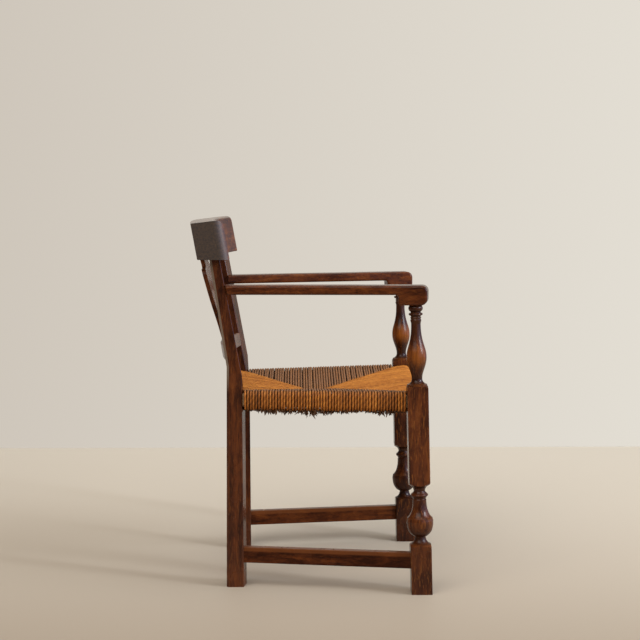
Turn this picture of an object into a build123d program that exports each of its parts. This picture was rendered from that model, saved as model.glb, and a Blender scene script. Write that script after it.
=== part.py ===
from build123d import *
from math import asin, atan2, degrees, hypot, radians, sqrt, tan
import os

# Rush seat armchair. Working frame: x across the chair, y from the front posts to the back,
# z up from the floor. The finished pieces are then centred front to back on the origin.

# Plan of the frame, between post centres at the height of the seat rails
FRONT_SPACING = 500.0
REAR_SPACING = 368.0
SEAT_DEPTH = 394.5

# Front posts: square blocks with turned lengths between them
FRONT_BLOCK = 45.0
FRONT_RAKE = 1.5
BLOCK_ARRIS = 1.6
BLOCK_SHOULDER_H = 6.0
FOOT_BLOCK_H = 108.0
FOOT_FLARE_R = 22.2
FOOT_FLARE_H = 16.0
FOOT_NECK_R = 11.7
BOWL_RISE_H = 34.0
BOWL_R = 28.8
BOWL_BAND_H = 7.0
BOWL_EDGE_R = 27.6
BOWL_COVE_H = 38.0
BOWL_NECK_R = 14.8
BOWL_NECK_H = 8.0
GROOVE_DEPTH = 1.4
RING_R = 18.6
RING_H = 8.0
RING_NECK_R = 12.4
RING_NECK_H = 5.0
UPPER_FLARE_H = 13.0
UPPER_BLOCK_H = 215.0
COLLAR_R = 21.6
COLLAR_EDGE_H = 3.0
COLLAR_H = 12.0
VASE_NECK_R = 11.4
VASE_RISE_H = 47.0
VASE_R = 21.5
VASE_FALL_H = 71.0
VASE_TOP_R = 10.3
BAND_FLARE_H = 8.0
BAND_R = 11.8
BAND_H = 10.0
BEAD_R = 15.1
BEAD_H = 5.0
BEAD_NECK_R = 11.0
BEAD_NECK_H = 3.0
BALL_R = 15.6
BALL_H = 14.0
BALL_END_R = 12.0
POST_TENON_R = 8.0
POST_TENON_LEN = 24.0

# Rear posts: upright legs that lean back above the knee. Their front faces are square to the side
# rails below it, and turn inwards above it to follow the bow of the back
REAR_WIDTH = 34.0
REAR_FOOT_DEPTH = 37.5
REAR_KNEE_DEPTH = 33.0
REAR_TOP_DEPTH = 23.0
KNEE_Z = 471.0
REAR_KNEE_RISE = 15.0
BACK_LEAN = 9.45
REAR_CHAMFER = 5.0
REAR_ARRIS = 1.6
REAR_INWARD_TURN = 14.5
REAR_FRONT_SPARE = 120.0
CREST_TENON_R = 7.0
CREST_TENON_LEN = 36.0

# Crest rail: thickness and setback are those at its middle
CREST_UNDERSIDE_Z = 720.0
CREST_HEIGHT = 86.0
CREST_LENGTH = 453.0
CREST_THICK = 54.0
CREST_SETBACK = 17.5
CREST_LEAN = 10.2
CREST_TOP_SLOPE = 7.0
CREST_FRONT_BOW = 27.0
CREST_REAR_BOW = 9.0
CREST_TOP_ROUND = 15.0
CREST_END_ROUND = 24.0
CREST_ARRIS = 2.5

# Lower back rail and splat
LOWER_RAIL_Z = 494.0
LOWER_RAIL_H = 32.0
LOWER_RAIL_THICK = 20.0
LOWER_RAIL_BOW = 19.0
LOWER_RAIL_ARRIS = 2.0
SPLAT_THICK = 9.0
SPLAT_FOOT_W = 130.0
SPLAT_BODY_W = 224.0
SPLAT_NECK_W = 130.0
SPLAT_NECK_H = 26.0
SPLAT_HOOK = 16.0
SPLAT_HOUSING = 12.0
SPLAT_FIT = 0.1
SPLAT_CREST_INSET = 8.0
SPLAT_RAIL_SHIFT = 2.5

# Arms
ARM_HEIGHT = 43.0
ARM_THICK_FRONT = 21.0
ARM_THICK_REAR = 20.5
ARM_FALL = 4.0
ARM_BLOCK_LEN = 62.5
ARM_NOSE = 27.0
ARM_WIDTH = 44.0
ARM_NOSE_TOP_ROUND = 13.5
ARM_NOSE_LOW_ROUND = 15.0
ARM_HEEL_ROUND = 6.0
ARM_EDGE_ROUND = 5.0

# Seat rails and side stretchers
SEAT_RAIL_Z = 417.5
SEAT_FALL = 4.7
SEAT_RAIL_H = 30.0
SEAT_RAIL_THICK = 20.0
SEAT_RAIL_ROUND = 5.0
STRETCHER_Z = 71.0
STRETCHER_H = 34.5
STRETCHER_THICK = 20.0
STRETCHER_ARRIS = 2.0

# Dowels
DOWEL_R = 4.0
DOWEL_FIT = 0.1
DOWEL_IN_RAIL = 22.0
DOWEL_IN_FRONT_POST = 16.0
DOWEL_IN_REAR_POST = 12.0
SEAT_DOWEL_PITCH = 15.0
STRETCHER_DOWEL_PITCH = 17.0
ARM_DOWEL_PITCH = 17.0
BACK_DOWEL_PITCH = 18.0
HOLE_SPARE = 0.5

# Rush seat and its stuffing
RUSH_COVER = 7.5
RUSH_ROUND = 13.0
RUSH_DISH = 24.0
RUSH_BELLY = 11.0
RUSH_BELLY_INSET = 9.0
RUSH_POST_GAP = 0.3
RUSH_RIDGE_W = 6.0
RUSH_FRONT_APEX_Y = 195.0
RUSH_REAR_APEX_Y = 241.0
STUFFING_H = 12.0
STUFFING_DROP = 12.0
STUFFING_SEAM = 2.0

# Pull of the curves' handles, as shares of a member's height or change of radius
ESS_PULLS = (0.45, 0.45)
FLARE_PULLS = (0.75, 0.1)
VASE_RISE_PULLS = (0.35, 0.45)
VASE_FALL_PULLS = (0.32, 0.6)
BOWL_PULLS = (0.75, 0.16, 0.5)
COVE_PULLS = (0.62, 0.14, 0.5)
SPLAT_PULLS = (0.4, 0.55)

# Working values: a size beyond the chair, a tolerance, a probe and the spare sweep of a cut rail
BEYOND = 2000.0
CLOSE = 0.1
PROBE_R = 0.2
SPARE_SWEEP = 1.4

# Values worked out from the driving sizes
FRONT_X = FRONT_SPACING / 2
REAR_X = REAR_SPACING / 2
REAR_FRONT_Y = SEAT_DEPTH - REAR_KNEE_DEPTH / 2
SIDE_SPLAY = degrees(atan2(FRONT_X - REAR_X, SEAT_DEPTH))
SIDES = {"left": 1, "right": -1}
LOWER_TURNING_H = (FOOT_FLARE_H + BOWL_RISE_H + BOWL_BAND_H + BOWL_COVE_H + BOWL_NECK_H
                   + RING_H + RING_NECK_H + UPPER_FLARE_H)
UPPER_BLOCK_Z = FOOT_BLOCK_H + LOWER_TURNING_H
UPPER_TURNING_Z = UPPER_BLOCK_Z + UPPER_BLOCK_H
UPPER_TURNING_H = (COLLAR_EDGE_H + COLLAR_H + VASE_RISE_H + VASE_FALL_H + BAND_FLARE_H + BAND_H
                   + BEAD_H + BEAD_NECK_H + BALL_H)
ARM_UNDERSIDE_Z = UPPER_TURNING_Z + UPPER_TURNING_H
ARM_TOP_Z = ARM_UNDERSIDE_Z + ARM_HEIGHT
CREST_CENTRE_Y = SEAT_DEPTH + (CREST_UNDERSIDE_Z - KNEE_Z) * tan(radians(BACK_LEAN))
CREST_FRONT_Y = CREST_CENTRE_Y + CREST_SETBACK - CREST_THICK / 2
CREST_REAR_Y = CREST_FRONT_Y + CREST_THICK
SEAT_TILT = degrees(atan2(SEAT_FALL, SEAT_DEPTH))
REAR_RAIL_Z = SEAT_RAIL_Z - SEAT_FALL


def front_axis_y(z):
    """Place of a front post's raked axis at a height."""
    return (z - SEAT_RAIL_Z) * tan(radians(FRONT_RAKE))


def rear_axis_y(z):
    """Centre of a rear post's depth at a height."""
    return SEAT_DEPTH + max(0.0, z - KNEE_Z) * tan(radians(BACK_LEAN))


def slab(low, high):
    """Level slice of space between two heights."""
    return Pos(0, 0, (low + high) / 2) * Box(2 * BEYOND, 2 * BEYOND, high - low)


def tilted(shape):
    """Tip a level seat shape down to the rear."""
    return Pos(0, 0, SEAT_RAIL_Z) * Rot(X=-SEAT_TILT) * Pos(0, 0, -SEAT_RAIL_Z) * shape


def bow_radius(half, bow):
    """Radius of an arc that bows by a height over twice a half length."""
    return (half**2 + bow**2) / (2 * bow)


def swept(section, middle, half, bow):
    """Solid that an upright section at mid length sweeps along an arc bowed backwards."""
    radius = bow_radius(half, bow)
    swing = degrees(asin(half / radius)) * SPARE_SWEEP
    pivot = Axis((0, middle - radius, 0), (0, 0, 1))
    return revolve((Plane.YZ * section).rotate(pivot, -swing), pivot, 2 * swing)


def largest(shape):
    """Largest solid of a cut shape."""
    return max(shape.solids(), key=lambda solid: solid.volume)


# Turned members of the front posts

def line(start, height, radius):
    return Line(start, (radius, start[1] + height))


def ess(start, height, radius, pulls=ESS_PULLS):
    """Curve that leaves and arrives upright."""
    end = (radius, start[1] + height)
    low = (start[0], start[1] + pulls[0] * height)
    high = (radius, end[1] - pulls[1] * height)
    return Bezier(start, low, high, end)


def sweep_in(start, height, radius, pulls):
    """Curve that leaves nearly level and arrives upright."""
    out, rise, arrive = pulls
    end = (radius, start[1] + height)
    low = (start[0] + out * (radius - start[0]), start[1] + rise * height)
    return Bezier(start, low, (radius, end[1] - arrive * height), end)


def bowl(start, height, radius):
    """Full convex rise from a neck to a belly."""
    return sweep_in(start, height, radius, BOWL_PULLS)


def cove(start, height, radius):
    """Hollow fall from an edge to a neck."""
    return sweep_in(start, height, radius, COVE_PULLS)


def bead(start, height, crown, radius):
    """Round bead that swells to a crown."""
    return ThreePointArc(start, (crown, start[1] + height / 2), (radius, start[1] + height))


def turned(edges):
    """Solid turned from a chain of profile edges, in radius and height."""
    bottom = edges[0] @ 0
    top = edges[-1] @ 1
    axis = [Line(top, (0, top.Y)), Line((0, top.Y), (0, bottom.Y)), Line((0, bottom.Y), bottom)]
    return revolve(Plane.XZ * make_face(edges + axis), Axis.Z)


def chain(start, members):
    """Profile edges that follow one another from a start point."""
    edges = []
    point = start
    for make, *sizes in members:
        edge = make(point, *sizes)
        edges.append(edge)
        end = edge @ 1
        point = (end.X, end.Y)
    return edges


def lower_turning():
    start = (FOOT_FLARE_R, FOOT_BLOCK_H)
    groove_h = BOWL_NECK_H / 4
    return turned(chain(start, [
        (cove, FOOT_FLARE_H, FOOT_NECK_R),
        (bowl, BOWL_RISE_H, BOWL_R),
        (ess, BOWL_BAND_H, BOWL_EDGE_R),
        (cove, BOWL_COVE_H, BOWL_NECK_R),
        (line, groove_h, BOWL_NECK_R),
        (line, groove_h, BOWL_NECK_R - GROOVE_DEPTH),
        (line, groove_h, BOWL_NECK_R),
        (line, groove_h, BOWL_NECK_R),
        (bead, RING_H, RING_R, BOWL_NECK_R),
        (ess, RING_NECK_H, RING_NECK_R),
        (ess, UPPER_FLARE_H, FOOT_FLARE_R, FLARE_PULLS),
    ]))


def upper_turning(trim):
    start = (COLLAR_R, UPPER_TURNING_Z)
    groove_h = BAND_H / 4
    return turned(chain(start, [
        (line, COLLAR_EDGE_H, COLLAR_R),
        (cove, COLLAR_H, VASE_NECK_R),
        (ess, VASE_RISE_H, VASE_R, VASE_RISE_PULLS),
        (ess, VASE_FALL_H, VASE_TOP_R, VASE_FALL_PULLS),
        (ess, BAND_FLARE_H, BAND_R),
        (line, groove_h, BAND_R - GROOVE_DEPTH),
        (line, groove_h, BAND_R),
        (line, groove_h, BAND_R - GROOVE_DEPTH),
        (line, groove_h, BAND_R),
        (bead, BEAD_H, BEAD_R, BEAD_NECK_R),
        (line, BEAD_NECK_H, BEAD_NECK_R),
        (bead, BALL_H, BALL_R, BALL_END_R),
        (line, trim, BALL_END_R),
    ]))


def square_block(low, high, shoulders):
    """Square length of a front post, with turned shoulders at the named ends."""
    block = Pos(0, 0, (low + high) / 2) * Box(FRONT_BLOCK, FRONT_BLOCK, high - low)
    block = chamfer(block.edges().filter_by(Axis.Z), BLOCK_ARRIS)
    reach = FRONT_BLOCK / sqrt(2)
    low_r = FOOT_FLARE_R if "low" in shoulders else reach
    high_r = FOOT_FLARE_R if "high" in shoulders else reach
    envelope = turned(chain((low_r, low), [
        (line, BLOCK_SHOULDER_H, reach),
        (line, high - low - 2 * BLOCK_SHOULDER_H, reach),
        (line, BLOCK_SHOULDER_H, high_r),
    ]))
    return block & envelope


def raked(shape, side):
    """Stand a front-post shape on its raked axis."""
    return Pos(side * FRONT_X, 0, SEAT_RAIL_Z) * Rot(X=-FRONT_RAKE) * Pos(0, 0, -SEAT_RAIL_Z) * shape


def post_tenon(radius, length):
    return Pos(0, 0, ARM_UNDERSIDE_Z) * Cylinder(radius, 2 * length)


def front_post(side):
    trim = FRONT_BLOCK * tan(radians(FRONT_RAKE))
    body = (square_block(-trim, FOOT_BLOCK_H, "high")
            + lower_turning()
            + square_block(UPPER_BLOCK_Z, UPPER_TURNING_Z, "low high")
            + upper_turning(trim))
    body = raked(body, side) & slab(0, ARM_UNDERSIDE_Z)
    return largest(body + raked(post_tenon(POST_TENON_R, POST_TENON_LEN), side))


# Rear posts

def rear_outline():
    """Side outline of a rear post with spare wood at the front, from the foot round to the foot again."""
    front = [(0, rear_axis_y(z) - REAR_FRONT_SPARE, z) for z in (0, KNEE_Z, CREST_UNDERSIDE_Z)]
    rear = [(0, CREST_CENTRE_Y + REAR_TOP_DEPTH / 2, CREST_UNDERSIDE_Z),
            (0, SEAT_DEPTH + REAR_KNEE_DEPTH / 2, KNEE_Z + REAR_KNEE_RISE),
            (0, SEAT_DEPTH + REAR_FOOT_DEPTH / 2, 0)]
    return make_face(Polyline(*front, *rear, close=True))


def behind(side, lean, turn):
    """Space behind a leaning, turned plane through a rear post's outer front edge at the knee."""
    edge = Pos(side * (REAR_X + REAR_WIDTH / 2), REAR_FRONT_Y, KNEE_Z)
    return edge * Rot(X=-lean) * Rot(Z=side * turn) * Box(
        BEYOND, BEYOND, BEYOND, align=(Align.CENTER, Align.MIN, Align.CENTER))


def behind_lower_front(side):
    """Space behind a rear leg's front face, which is square to the side rail."""
    taper = degrees(atan2((REAR_FOOT_DEPTH - REAR_KNEE_DEPTH) / 2, KNEE_Z))
    return behind(side, taper, SIDE_SPLAY)


def behind_upper_front(side):
    """Space behind the leaning front face of a rear post above the knee, which turns inwards."""
    top_front = CREST_CENTRE_Y - REAR_TOP_DEPTH / 2
    lean = degrees(atan2(top_front - REAR_FRONT_Y, CREST_UNDERSIDE_Z - KNEE_Z))
    return behind(side, lean, -REAR_INWARD_TURN)


def crest_tenon(radius, length):
    """Round tenon on a rear post's top, along the post's lean."""
    return (Pos(0, CREST_CENTRE_Y, CREST_UNDERSIDE_Z) * Rot(X=-BACK_LEAN)
            * Cylinder(radius, 2 * length))


def long_post_edges(body):
    """Edges of a rear post that run up it."""
    return [edge for edge in body.edges() if edge.bounding_box().size.Z > REAR_WIDTH]


def rear_post(side):
    stock = Pos(side * REAR_X, 0, 0) * extrude(rear_outline(), REAR_WIDTH / 2, both=True)
    outer_rear = [edge for edge in long_post_edges(stock)
                  if edge.center().X * side > REAR_X and edge.center().Y > rear_axis_y(edge.center().Z)]
    stock = chamfer(outer_rear, REAR_CHAMFER)
    fronts = []
    for space in (behind_lower_front(side), behind_upper_front(side)):
        planed = largest(stock & space)
        front_edges = [edge for edge in long_post_edges(planed)
                       if edge.center().Y < rear_axis_y(edge.center().Z)]
        fronts.append(chamfer(front_edges, REAR_ARRIS))
    body = largest(fronts[0] & fronts[1])
    return body + Pos(side * REAR_X, 0, 0) * crest_tenon(CREST_TENON_R, CREST_TENON_LEN)


# Straight bars between two posts

def bar(start, end, height, thick, edge_round):
    """Rounded bar from point to point, with its section upright."""
    run = Vector(end) - Vector(start)
    box = Box(run.length, thick, height)
    box = fillet(box.edges().filter_by(Axis.X), edge_round)
    middle = (Vector(start) + Vector(end)) / 2
    heading = degrees(atan2(run.Y, run.X))
    fall = degrees(atan2(-run.Z, hypot(run.X, run.Y)))
    return Pos(*middle) * Rot(Z=heading) * Rot(Y=fall) * box


def dowel_row(point, direction, pitch, in_rail, in_post):
    """Two dowels, one above the other, and the holes that take them, at a joint face."""
    axis = Vector(direction).normalized()
    dowels = []
    holes = []
    for step in (-0.5, 0.5):
        centre = Vector(point) + Vector(0, 0, step * pitch)
        for spare, radius, made in ((0.0, DOWEL_R, dowels), (HOLE_SPARE, DOWEL_R + DOWEL_FIT, holes)):
            start = centre - axis * (in_rail + spare)
            plane = Plane(origin=start, z_dir=axis)
            made.append(plane * Cylinder(radius, in_rail + in_post + 2 * spare,
                                         align=(Align.CENTER, Align.CENTER, Align.MIN)))
    return dowels, holes


def joint_point(start, end, post):
    """Where a bar's centre line enters a post."""
    run = Vector(end) - Vector(start)
    inside = post & Plane(origin=start, z_dir=run) * Cylinder(
        PROBE_R, run.length, align=(Align.CENTER, Align.CENTER, Align.MIN))
    vertices = inside.vertices()
    along = min((Vector(*vertex) - Vector(start)).dot(run.normalized()) for vertex in vertices)
    return Vector(start) + run.normalized() * along


# Pieces of the back

def crest_rail():
    """Thick rail that leans back, hollowed along its front more than it swells along its rear."""
    low, high = CREST_UNDERSIDE_Z, CREST_UNDERSIDE_Z + CREST_HEIGHT
    half = CREST_LENGTH / 2
    lean = CREST_HEIGHT * tan(radians(CREST_LEAN))
    run = 3 * CREST_THICK
    drop = run * tan(radians(CREST_TOP_SLOPE))
    front = CREST_FRONT_Y
    front_side = make_face(Polyline((front, low), (front + run, low), (front + run + lean, high - drop),
                                    (front + lean, high), close=True))
    front_side = fillet(front_side.vertices().sort_by(Axis.Y)[-1], CREST_TOP_ROUND)
    front_side = fillet(front_side.vertices().sort_by(Axis.X)[0], CREST_ARRIS)
    rear = CREST_REAR_Y
    rear_side = make_face(Polyline((rear - run, low), (rear, low), (rear + lean, high),
                                   (rear + lean - run, high), close=True))
    lowest = rear_side.vertices().sort_by(Axis.Y)[:2]
    rear_side = fillet(lowest.sort_by(Axis.X)[-1], CREST_ARRIS)
    end_front = front - CREST_FRONT_BOW
    plan = Pos(0, end_front, low) * Rectangle(CREST_LENGTH, run, align=(Align.CENTER, Align.MIN))
    plan = fillet(plan.vertices().sort_by(Axis.Y)[:2], CREST_END_ROUND)
    lean_way = Vector(0, tan(radians(CREST_LEAN)), 1)
    ends = extrude(plan, CREST_HEIGHT * lean_way.length, dir=lean_way)
    rail = swept(front_side, front, half, CREST_FRONT_BOW) & swept(rear_side, rear, half, CREST_REAR_BOW)
    return largest(rail & ends)


def lower_back_rail():
    """Rail between the rear posts, bowed backwards and leaning with them."""
    middle = rear_axis_y(LOWER_RAIL_Z) + LOWER_RAIL_BOW
    half = LOWER_RAIL_THICK / 2
    lean = LOWER_RAIL_H * tan(radians(BACK_LEAN))
    low, high = LOWER_RAIL_Z, LOWER_RAIL_Z + LOWER_RAIL_H
    section = make_face(Polyline((middle - half, low), (middle + half, low), (middle + half + lean, high),
                                 (middle - half + lean, high), close=True))
    section = chamfer(section.vertices(), LOWER_RAIL_ARRIS)
    rail = swept(section, middle, REAR_X, LOWER_RAIL_BOW)
    return rail & Box(REAR_SPACING - REAR_WIDTH, 2 * BEYOND, 2 * BEYOND)


def lower_rail_bow_angle(x):
    """Slope of the lower back rail's centre line at a distance from the middle."""
    return asin(x / bow_radius(REAR_X, LOWER_RAIL_BOW))


def splat(grow=0.0, deeper=0.0):
    """Flat board from the lower back rail to the crest rail, housed in both."""
    low_z = LOWER_RAIL_Z + LOWER_RAIL_H
    low_y = rear_axis_y(low_z) + LOWER_RAIL_BOW - SPLAT_RAIL_SHIFT
    run = Vector(0, CREST_REAR_Y - SPLAT_CREST_INSET - low_y, CREST_UNDERSIDE_Z - low_z)
    height = run.length
    foot = SPLAT_FOOT_W / 2 + grow
    body = SPLAT_BODY_W / 2 + grow
    neck = SPLAT_NECK_W / 2 + grow
    tenon = SPLAT_HOUSING + deeper
    shoulder = height - SPLAT_NECK_H
    leave, arrive = SPLAT_PULLS
    side = [
        Line((foot, -tenon), (foot, 0)),
        Bezier((foot, 0), (foot, leave * height), (body, shoulder - arrive * height),
               (body, shoulder - SPLAT_HOOK)),
        RadiusArc((body, shoulder - SPLAT_HOOK), (body - SPLAT_HOOK, shoulder), -SPLAT_HOOK),
        Bezier((body - SPLAT_HOOK, shoulder), (neck, shoulder), (neck, shoulder), (neck, height)),
        Line((neck, height), (neck, height + tenon)),
    ]
    other = [mirror(edge, Plane.YZ) for edge in side]
    close = [Line((-foot, -tenon), (foot, -tenon)), Line((-neck, height + tenon), (neck, height + tenon))]
    outline = make_face(side + other + close)
    plane = Plane(origin=(0, low_y, low_z), x_dir=(1, 0, 0), z_dir=Vector(1, 0, 0).cross(run))
    return plane * extrude(outline, SPLAT_THICK / 2 + grow, both=True)


# Arms

def arm_line(side):
    """Ends of an arm's centre line, over the front post's axis and at the rear post's centre."""
    middle = ARM_TOP_Z - ARM_THICK_REAR / 2
    front = Vector(side * FRONT_X, front_axis_y(ARM_UNDERSIDE_Z), middle)
    rear = Vector(side * REAR_X, rear_axis_y(middle), middle - ARM_FALL)
    return front, rear


def arm(side):
    """Arm with a square drop at the front, sitting on the front post."""
    front, rear = arm_line(side)
    run = rear - front
    length = hypot(run.X, run.Y)
    nose = -ARM_NOSE
    heel = nose + ARM_BLOCK_LEN
    low, high = ARM_UNDERSIDE_Z, ARM_TOP_Z
    inner = high - ARM_THICK_FRONT
    end_high = high - ARM_FALL
    profile = make_face(Polyline((nose, 0, low), (heel, 0, low), (heel, 0, inner),
                                 (length, 0, end_high - ARM_THICK_REAR), (length, 0, end_high),
                                 (nose, 0, high), close=True))
    solid = extrude(profile, ARM_WIDTH / 2, both=True)
    rounds = ((nose, high, ARM_NOSE_TOP_ROUND), (nose, low, ARM_NOSE_LOW_ROUND),
              (heel, low, ARM_HEEL_ROUND), (heel, inner, ARM_HEEL_ROUND))
    for place, height, radius in rounds:
        corner = [edge for edge in solid.edges().filter_by(Axis.Y)
                  if abs(edge.center().X - place) < CLOSE and abs(edge.center().Z - height) < CLOSE]
        solid = fillet(corner, radius)
    rims = [edge for face in solid.faces().filter_by(Axis.Y) for edge in face.edges()
            if edge.center().X < length - CLOSE]
    solid = fillet(rims, ARM_EDGE_ROUND)
    place = Pos(front.X, front.Y, 0) * Rot(Z=degrees(atan2(run.Y, run.X)))
    return largest(place * solid - behind_upper_front(side))


# Rush seat

def seat_outline(grow):
    """Plan of the seat, grown outwards from the rails' centre lines."""
    corners = [(-FRONT_X, 0), (FRONT_X, 0), (REAR_X, SEAT_DEPTH), (-REAR_X, SEAT_DEPTH)]
    plan = make_face(Polyline(*corners, close=True))
    return offset(plan, grow, kind=Kind.INTERSECTION) if grow else plan


def hip(outline, level, depth):
    """Shallow four-sided hip between a seat outline and the short ridge at its middle."""
    ridge_y = (RUSH_FRONT_APEX_Y + RUSH_REAR_APEX_Y) / 2
    ridge_length = RUSH_REAR_APEX_Y - RUSH_FRONT_APEX_Y
    ridge = Pos(0, ridge_y, level + depth) * Rectangle(RUSH_RIDGE_W, ridge_length)
    return loft([Pos(0, 0, level) * outline, ridge], ruled=True)


def rush_envelope():
    """Outside of the woven seat, dished on top and full underneath."""
    reach = SEAT_RAIL_THICK / 2 + RUSH_COVER
    half = SEAT_RAIL_H / 2 + RUSH_COVER
    low, high = SEAT_RAIL_Z - half, SEAT_RAIL_Z + half
    plate = extrude(Pos(0, 0, low) * seat_outline(reach), 2 * half)
    rims = [edge for edge in plate.edges() if edge.bounding_box().size.Z < CLOSE]
    plate = fillet(rims, RUSH_ROUND)
    belly = hip(seat_outline(-RUSH_BELLY_INSET), low, -RUSH_BELLY)
    dish = hip(seat_outline(0), high, -RUSH_DISH)
    return tilted(plate + belly - dish)


def stuffing_pads():
    """Packed waste rush in the four pockets between the top and bottom layers."""
    left_front, right_front = (-FRONT_X, 0), (FRONT_X, 0)
    left_rear, right_rear = (-REAR_X, SEAT_DEPTH), (REAR_X, SEAT_DEPTH)
    front_apex, rear_apex = (0, RUSH_FRONT_APEX_Y), (0, RUSH_REAR_APEX_Y)
    fields = ((left_front, right_front, front_apex), (right_rear, left_rear, rear_apex),
              (right_front, right_rear, rear_apex, front_apex),
              (left_rear, left_front, front_apex, rear_apex))
    bottom = SEAT_RAIL_Z - STUFFING_DROP - STUFFING_H / 2
    inside = seat_outline(-SEAT_RAIL_THICK / 2)
    pads = []
    for corners in fields:
        plan = offset(make_face(Polyline(*corners, close=True)), -STUFFING_SEAM, kind=Kind.INTERSECTION)
        pads.append(tilted(extrude(Pos(0, 0, bottom) * (plan & inside), STUFFING_H)))
    return pads


def post_spaces():
    """Corners of the seat that the posts take up, from their inner faces outwards."""
    spaces = []
    height = UPPER_BLOCK_H
    for side in SIDES.values():
        outwards = Align.MIN if side > 0 else Align.MAX
        front_half = FRONT_BLOCK / 2 + RUSH_POST_GAP
        front = Box(FRONT_BLOCK * 2, FRONT_BLOCK * 2, height, align=(outwards, Align.MAX, Align.CENTER))
        spaces.append(raked(Pos(-side * front_half, front_half, SEAT_RAIL_Z) * front, side))
        rear_half = REAR_WIDTH / 2 + RUSH_POST_GAP
        rear = Box(REAR_WIDTH * 2, REAR_FOOT_DEPTH * 2, height, align=(outwards, Align.CENTER, Align.CENTER))
        rear = Pos(side * (REAR_X - rear_half), SEAT_DEPTH, SEAT_RAIL_Z) * rear
        spaces.append(rear & Pos(0, -RUSH_POST_GAP, 0) * behind_lower_front(side))
    return spaces


# Assembly of the named pieces

pieces = {}
holes = {}
dowel_sets = {"seat_rail_dowels": [], "stretcher_dowels": [], "arm_dowels": [], "back_rail_dowels": []}


def drill(node, tools):
    holes.setdefault(node, []).extend(tools)


def join(group, rail, post, point, direction, pitch, in_post):
    """Dowel a rail to a post at a joint face."""
    dowels, tools = dowel_row(point, direction, pitch, DOWEL_IN_RAIL, in_post)
    dowel_sets[group].extend(dowels)
    drill(rail, tools)
    drill(post, tools)


for word, side in SIDES.items():
    pieces[f"front_post_{word}"] = front_post(side)
    pieces[f"rear_post_{word}"] = rear_post(side)


def fit_bar(node, group, start, end, ends, height, thick, edge_round, pitch):
    """Bar between two posts, cut to their faces and dowelled at both ends."""
    solid = bar(start, end, height, thick, edge_round)
    middle = (Vector(start) + Vector(end)) / 2
    for tip, post in zip((start, end), ends):
        in_post = DOWEL_IN_FRONT_POST if post.startswith("front") else DOWEL_IN_REAR_POST
        face = joint_point(middle, tip, pieces[post])
        join(group, node, post, face, Vector(tip) - middle, pitch, in_post)
        solid = solid - pieces[post]
    pieces[node] = largest(solid)


def fit_seat_rail(node, start, end, ends):
    fit_bar(node, "seat_rail_dowels", start, end, ends, SEAT_RAIL_H, SEAT_RAIL_THICK, SEAT_RAIL_ROUND,
            SEAT_DOWEL_PITCH)


def fit_stretcher(node, start, end, ends):
    fit_bar(node, "stretcher_dowels", start, end, ends, STRETCHER_H, STRETCHER_THICK, STRETCHER_ARRIS,
            STRETCHER_DOWEL_PITCH)


corners = {}
for word, side in SIDES.items():
    corners[f"front_{word}"] = (side * FRONT_X, 0, SEAT_RAIL_Z)
    corners[f"rear_{word}"] = (side * REAR_X, SEAT_DEPTH, REAR_RAIL_Z)
for word, side in SIDES.items():
    posts = (f"front_post_{word}", f"rear_post_{word}")
    fit_seat_rail(f"side_seat_rail_{word}", corners[f"front_{word}"], corners[f"rear_{word}"], posts)
    fit_stretcher(f"side_stretcher_{word}", (side * FRONT_X, front_axis_y(STRETCHER_Z), STRETCHER_Z),
                  (side * REAR_X, SEAT_DEPTH, STRETCHER_Z), posts)
for row in ("front", "rear"):
    posts = (f"{row}_post_right", f"{row}_post_left")
    fit_seat_rail(f"{row}_seat_rail", corners[f"{row}_right"], corners[f"{row}_left"], posts)

housing = splat(SPLAT_FIT, HOLE_SPARE)
pieces["back_splat"] = splat()
crest = crest_rail() - housing
back_rail = lower_back_rail() - housing
back_rail_z = LOWER_RAIL_Z + LOWER_RAIL_H / 2
for word, side in SIDES.items():
    mortise = crest_tenon(CREST_TENON_R + DOWEL_FIT, CREST_TENON_LEN + HOLE_SPARE)
    crest = crest - Pos(side * REAR_X, 0, 0) * mortise
    face_x = REAR_X - REAR_WIDTH / 2
    angle = lower_rail_bow_angle(face_x)
    step = REAR_WIDTH / 2 * tan(angle)
    face = (side * face_x, rear_axis_y(back_rail_z) + step, back_rail_z)
    join("back_rail_dowels", "lower_back_rail", f"rear_post_{word}", face, (side, -tan(angle), 0),
         BACK_DOWEL_PITCH, DOWEL_IN_REAR_POST)
pieces["crest_rail"] = largest(crest)
pieces["lower_back_rail"] = largest(back_rail)

for word, side in SIDES.items():
    front, rear = arm_line(side)
    socket = raked(post_tenon(POST_TENON_R + DOWEL_FIT, POST_TENON_LEN + HOLE_SPARE), side)
    pieces[f"arm_{word}"] = arm(side) - socket
    face = joint_point(front, rear, pieces[f"rear_post_{word}"])
    dowels, tools = dowel_row(face, rear - front, 0.0, DOWEL_IN_RAIL, DOWEL_IN_REAR_POST)
    across = Vector(0, 0, 1).cross((rear - front).normalized()) * (ARM_DOWEL_PITCH / 2)
    for sign in (-1, 1):
        aside = Pos(*(across * sign))
        dowel_sets["arm_dowels"].append(aside * dowels[0])
        drill(f"arm_{word}", [aside * tools[0]])
        drill(f"rear_post_{word}", [aside * tools[0]])

rail_names = ["front_seat_rail", "rear_seat_rail", "side_seat_rail_left", "side_seat_rail_right"]
rails = [pieces[name] for name in rail_names]
pads = []
for pad in stuffing_pads():
    for rail in rails:
        pad = pad - rail
    for space in post_spaces():
        pad = pad - space
    pads.append(largest(pad))
rush = rush_envelope()
for solid in rails + pads + post_spaces():
    rush = rush - solid
pieces["rush_seat"] = largest(rush)

for node, tools in holes.items():
    for tool in tools:
        pieces[node] = pieces[node] - tool
    pieces[node] = largest(pieces[node])
pieces["seat_stuffing"] = Compound(pads)
for group, dowels in dowel_sets.items():
    pieces[group] = Compound([largest(dowel) for dowel in dowels])

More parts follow.
